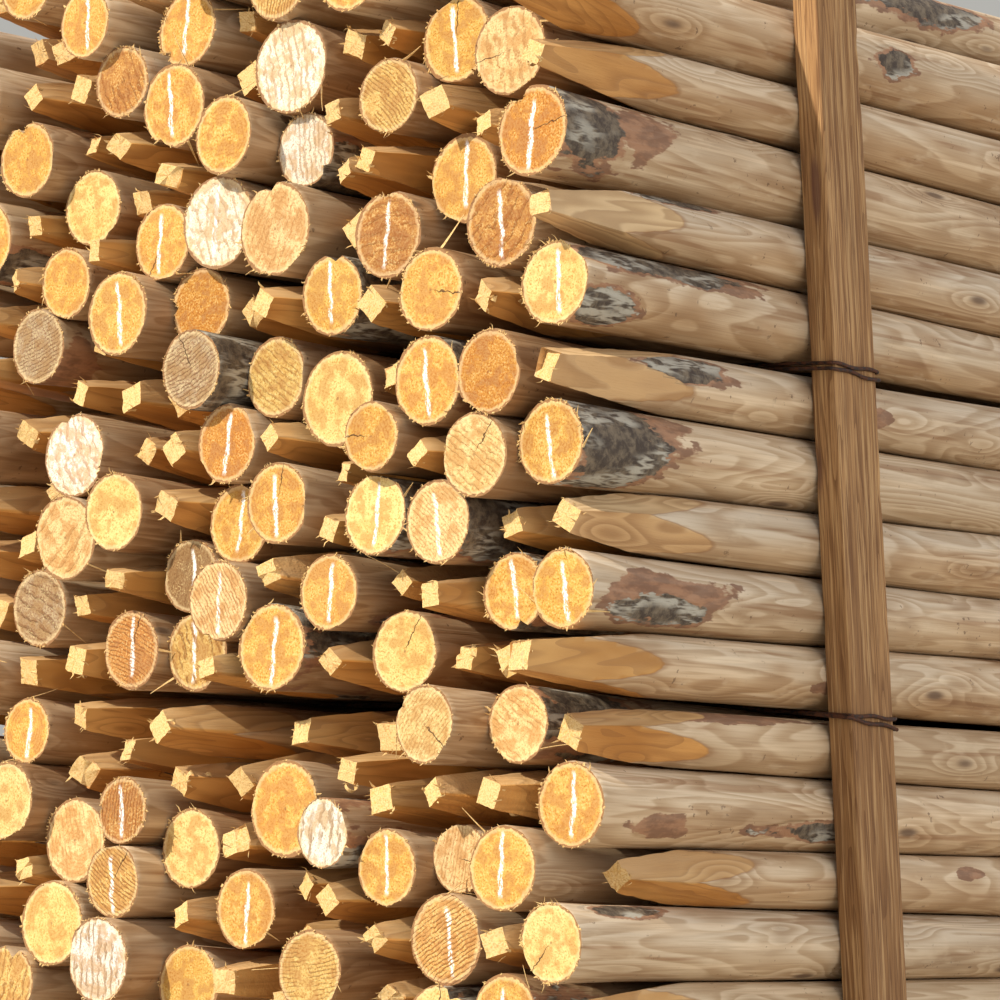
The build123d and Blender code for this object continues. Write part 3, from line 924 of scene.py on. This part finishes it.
def choose_look(letter, seen):
    """What one post looks like."""
    tint, kerf = LOOKS[letter.lower()]
    tint = np.array(tint) * rng.uniform(0.92, 1.06) * (1 + rng.uniform(-0.03, 0.03, 3))
    look = {
        "tint": np.clip(tint, 0.02, 0.92),
        "kerf": kerf * rng.uniform(0.6, 1.1),
        "kerf_turn": rng.uniform(*ANY_TURN),
        "kerf_bend": rng.uniform(-1, 1),
        "kerf_pitch": rng.choice([0.3, 0.4, 0.55, 0.85]),
        "flats": int(rng.choice([0, 1, 1, 2, 3])),
        "knots": int(rng.integers(3, 9)) if seen else 0,
        "notches": int(rng.choice([0, 0, 0, 0, 1])),
        "worn_length": rng.uniform(0.05, 0.3),
        "stripe_rise": rng.uniform(-0.12, 0.12),
        "stripe": float(letter.isupper()),
        "stripe_turn": rng.uniform(-0.14, 0.16),
        "stripe_shift": rng.uniform(-0.006, 0.006),
        "crack": float(rng.uniform() < 0.25),
        "grey": rng.uniform(0.1, 0.8) if seen else rng.uniform(0.0, 0.4),
        # Posts inside the stack are made warmer and darker: painted bounce light and painted
        # shade; on posts seen from outside these are random tone
        "warm_and_bounce": rng.uniform(0.1, 0.8) if seen else rng.uniform(0.4, 1.0),
        "dark_and_shade": rng.uniform(0.0, 0.15) if seen else rng.uniform(0.15, 0.8),
        "rings": rng.choice([0.1, 0.25, 0.5, 0.9]),
    }
    rng.uniform()  # Unread, it keeps the later draws in their order
    look.update({
        "fuzz": int(rng.integers(30, 90) if seen else rng.integers(18, 55)),
        "splinters": int(rng.integers(4, 12)),
        "curls": int(rng.choice([0, 0, 0, 1, 2])),
        "straws": int(rng.choice([0, 0, 1, 2])),
        "slant": rng.uniform(0.0, 0.016),
        "slant_turn": rng.uniform(*ANY_TURN),
        "step": 0.006 if rng.uniform() < 0.25 else 0.0,
        "tip_more": tip_rng.uniform(0.0, 0.006),
    })
    return look


def bark_patches(spots):
    """A function that says how far inside old and young bark a point of the stem is."""

    def peel(front, turn):
        old_bark, young_bark = np.full(front.shape, BARE), np.full(front.shape, BARE)
        for place, middle, long, wide, is_old in spots:
            apart = np.abs((turn - middle + 180) % 360 - 180)
            inside = 1 - np.hypot((front - place) / long, apart / wide)
            bark = old_bark if is_old else young_bark
            np.maximum(bark, inside, out=bark)
        return old_bark, young_bark

    return peel


def random_spots():
    """Bark left here and there on a post that the photo doesn't show."""
    spots = []
    for _ in range(rng.choice([0, 0, 1, 1, 2, 3])):
        long, wide = rng.uniform(0.05, 0.25), rng.uniform(20, 70)
        place, turn = rng.uniform(0.0, LENGTH), rng.uniform(-180, 180)
        spots.append((place, turn, long, wide, rng.uniform() < 0.6))
    if rng.uniform() < 0.22:
        place, turn = rng.choice([0.05, LENGTH - 0.05]), rng.uniform(-180, 180)
        spots.append((place, turn, rng.uniform(0.1, 0.5), 170, 1))
    return spots


def nodes_named(start):
    return sorted(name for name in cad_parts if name.startswith(start))


layer_nodes = nodes_named("post_layer")
post_materials = (stem_material(), butt_material(), splinter_material())
for number, node in enumerate(layer_nodes):
    points, faces = mesh_points(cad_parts[node])
    posts = [read_post(part) for part in loose_parts(points, faces)]
    posts.sort(key=lambda post: (post[0] + post[1] * LENGTH / 2)[1])
    made = []
    for column, post in enumerate(posts):
        front = post[1][0] > 0
        letter = FRONT_LOOKS[number][column] if front else rng.choice(list(REAR_LOOKS))
        seen = column in (0, len(posts) - 1) or number >= len(layer_nodes) - 3
        look = choose_look(letter, seen)
        spots = random_spots()
        known = [spot[2:] for spot in BARK if spot[:2] == (number, column)]
        if column == 0 and number in NEAR_GREY:
            look["grey"] = NEAR_GREY[number]
        piece = make_post(post, look, seen, bark_patches(known or spots))
        extras = (fibres(piece, look), shavings(piece, look))
        made += [piece, *(extra for extra in extras if extra)]
    obj = join_posts(f"posts_{number + 1:02d}", made, post_materials)
    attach(obj, "root")
    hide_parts(node)


# The battens: the radius of their arrises, the rings along them and their dents

ARRIS = 0.003
BATTEN_RINGS = 140
DENTS = 60
DENT_SHARPNESS = 90


def batten_outline(half):
    """Points round a batten from half its sizes, and 1 for each that is on an arris."""
    flat_x, flat_y = half[0] - ARRIS, half[1] - ARRIS
    points, on_arris = [], []
    for corner, (sx, sy) in enumerate(((1, 1), (-1, 1), (-1, -1), (1, -1))):
        for step in range(4):
            angle = math.radians(90 * corner + 30 * step)
            points.append((sx * flat_x + ARRIS * math.cos(angle),
                           sy * flat_y + ARRIS * math.sin(angle)))
            on_arris.append(1.0)
        along_x = corner % 2 == 0
        steps = 8 if along_x else 4
        for step in range(1, steps):
            share = 1 - 2 * (step / steps)
            points.append((sx * flat_x * share, sy * half[1]) if along_x
                          else (sx * half[0], sy * flat_y * share))
            on_arris.append(0.0)
    return np.array(points), np.array(on_arris)


def make_batten(node):
    """A sawn batten over its solid, with small dents along its arrises."""
    points, _ = mesh_points(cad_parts[node])
    low = points[points[:, 2] < points[:, 2].min() + 0.001]
    high = points[points[:, 2] > points[:, 2].max() - 0.001]
    foot = (low.min(axis=0) + low.max(axis=0)) / 2
    top = (high.min(axis=0) + high.max(axis=0)) / 2
    outline, on_arris = batten_outline((low.max(axis=0) - low.min(axis=0)) / 2)
    around = len(outline)
    heights = np.linspace(0, 1, BATTEN_RINGS)[:, None]
    wear = np.zeros((BATTEN_RINGS, around))
    for _ in range(DENTS):
        level, where = rng.uniform(0, 1), rng.integers(around)
        near = np.exp(-(((heights - level) * DENT_SHARPNESS) ** 2))
        near = near * (np.abs(np.arange(around) - where) < 3)
        wear += near * rng.uniform(0.0004, 0.0016) * on_arris
    wear += rng.uniform(0, 0.00025, wear.shape)
    ring = outline * (1 - wear[..., None] / np.maximum(np.abs(outline), 0.012))
    centre = foot + (top - foot) * heights
    height = np.repeat(centre[:, None, 2:], around, axis=1)
    points = np.concatenate([ring + centre[:, None, :2], height], axis=2).reshape(-1, 3)
    index = np.arange(wear.size).reshape(wear.shape)
    low_ring, high_ring = index[:-1], index[1:]
    quads = np.stack([low_ring, np.roll(low_ring, -1, axis=1),
                      np.roll(high_ring, -1, axis=1), high_ring], axis=-1)
    caps = [list(index[0][::-1]), list(index[-1])]
    seed = rng.uniform(0, 30)
    grain = np.column_stack([np.repeat(centre[:, 2] + seed, around),
                             np.tile(outline, (BATTEN_RINGS, 1))])
    mesh = bpy.data.meshes.new(node + "_sawn")
    mesh.from_pydata(points.tolist(), [], quads.reshape(-1, 4).tolist() + caps)
    add_attribute(mesh, "grain", "FLOAT_VECTOR", "vector", grain)
    shade(mesh, 50)
    return add_object(node + "_sawn", mesh)


batten_wood = batten_material()
for node in nodes_named("batten"):
    obj = make_batten(node)
    obj.data.materials.append(batten_wood)
    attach(obj, "root")
    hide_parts(node)


# The wires: what is added round them, and the height, turn in a metre and turn from strand to
# strand of their wave

WIRE_SWELLING = 0.0009
WIRE_WAVE = 0.0016
WAVE_TURNS = 95
STRAND_TURN = 2.3


def make_wires(node):
    """The strands of a tie over their solids, a little thicker, and wavy over a batten."""
    points, faces = mesh_points(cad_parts[node])
    build = bmesh.new()
    corners = [build.verts.new(point) for point in points]
    for face in faces:
        if len(set(face)) == 3:
            build.faces.new([corners[index] for index in face])
    outer, long = 0.9 * cad_box[1][1], 0.03
    long_edges = [edge for edge in build.edges if edge.calc_length() > long
                  and min(abs(vert.co.y) for vert in edge.verts) > outer]
    bmesh.ops.subdivide_edges(build, edges=long_edges, cuts=3, use_grid_fill=True)
    bmesh.ops.triangulate(build, faces=build.faces)
    build.normal_update()
    mesh = bpy.data.meshes.new(node + "_wires")
    build.to_mesh(mesh)
    build.free()
    where, outward = (np.empty(len(mesh.vertices) * 3, np.float32) for _ in range(2))
    mesh.vertices.foreach_get("co", where)
    mesh.vertices.foreach_get("normal", outward)
    where, outward = where.reshape(-1, 3), outward.reshape(-1, 3)
    mesh.calc_loop_triangles()
    faces = np.empty(len(mesh.loop_triangles) * 3, np.int32)
    mesh.loop_triangles.foreach_get("vertices", faces)
    labels = shell_labels(where, faces.reshape(-1, 3))
    strand = np.unique(labels, return_inverse=True)[1]
    where += outward * WIRE_SWELLING
    where[:, 2] += WIRE_WAVE * np.sin(where[:, 0] * WAVE_TURNS + strand * STRAND_TURN)
    mesh.vertices.foreach_set("co", where.reshape(-1))
    mesh.update()
    mesh.shade_smooth()
    return add_object(node + "_wires", mesh)


wire = wire_material()
for node in nodes_named("tie"):
    obj = make_wires(node)
    obj.data.materials.append(wire)
    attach(obj, "root")
    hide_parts(node)


# The floor, the light and the camera

reach = 30.0
floor_mesh = bpy.data.meshes.new("studio_floor")
floor_mesh.from_pydata(
    [(-reach, -reach, 0), (reach, -reach, 0), (reach, reach, 0), (-reach, reach, 0)],
    [], [(0, 1, 2, 3)])
floor_mesh.materials.append(Nodes("studio_floor").finish((0.56, 0.54, 0.50, 1.0), 0.8))
floor = add_object("studio_floor", floor_mesh)


def aim(obj, direction):
    """Turn an object to look along a direction."""
    obj.rotation_mode = "QUATERNION"
    obj.rotation_quaternion = Vector(direction).to_track_quat("-Z", "Y")


def add_sun(name, direction, strength, color, angle):
    data = bpy.data.lights.new(name, "SUN")
    data.energy = strength
    data.color = color
    data.angle = math.radians(angle)
    aim(add_object(name, data), direction)


add_sun("key_light", (0.80, -0.16, -0.58), 4.6, (1.0, 0.94, 0.82), 1.5)
add_sun("side_fill", (0.15, 0.95, -0.28), 0.80, (0.95, 0.97, 0.98), 70.0)

# The sky gives light, and the camera sees a plain backdrop in its place
world = bpy.data.worlds.new("studio")
bpy.context.scene.world = world
world.use_nodes = True
nodes, links = world.node_tree.nodes, world.node_tree.links
sky = nodes["Background"]
sky.inputs[0].default_value = (0.95, 0.95, 1.0, 1.0)
sky.inputs[1].default_value = 0.70
backdrop = nodes.new("ShaderNodeBackground")
backdrop.inputs[0].default_value = (0.46, 0.45, 0.42, 1.0)
backdrop.inputs[1].default_value = 1.0
either = nodes.new("ShaderNodeMixShader")
ray = nodes.new("ShaderNodeLightPath")
links.new(ray.outputs["Is Camera Ray"], either.inputs[0])
links.new(sky.outputs[0], either.inputs[1])
links.new(backdrop.outputs[0], either.inputs[2])
links.new(either.outputs[0], nodes["World Output"].inputs[0])

# The camera's focal length and picture in pixels, its sensor, and where it looks
FOCAL = 4167.0
PICTURE = 1000.0
SENSOR = 36.0
YAW = math.radians(40.2)
TILT = math.radians(6.91)
STAND = (-4.7564, -3.6324, 0.225)
camera = bpy.data.cameras.new("camera")
camera.sensor_width = SENSOR
camera.lens = SENSOR * FOCAL / PICTURE
camera_object = add_object("camera", camera)
camera_object.location = STAND
level = math.cos(TILT)
aim(camera_object, (math.cos(YAW) * level, math.sin(YAW) * level, math.sin(TILT)))
bpy.context.scene.camera = camera_object
bpy.context.scene.view_settings.view_transform = "Standard"
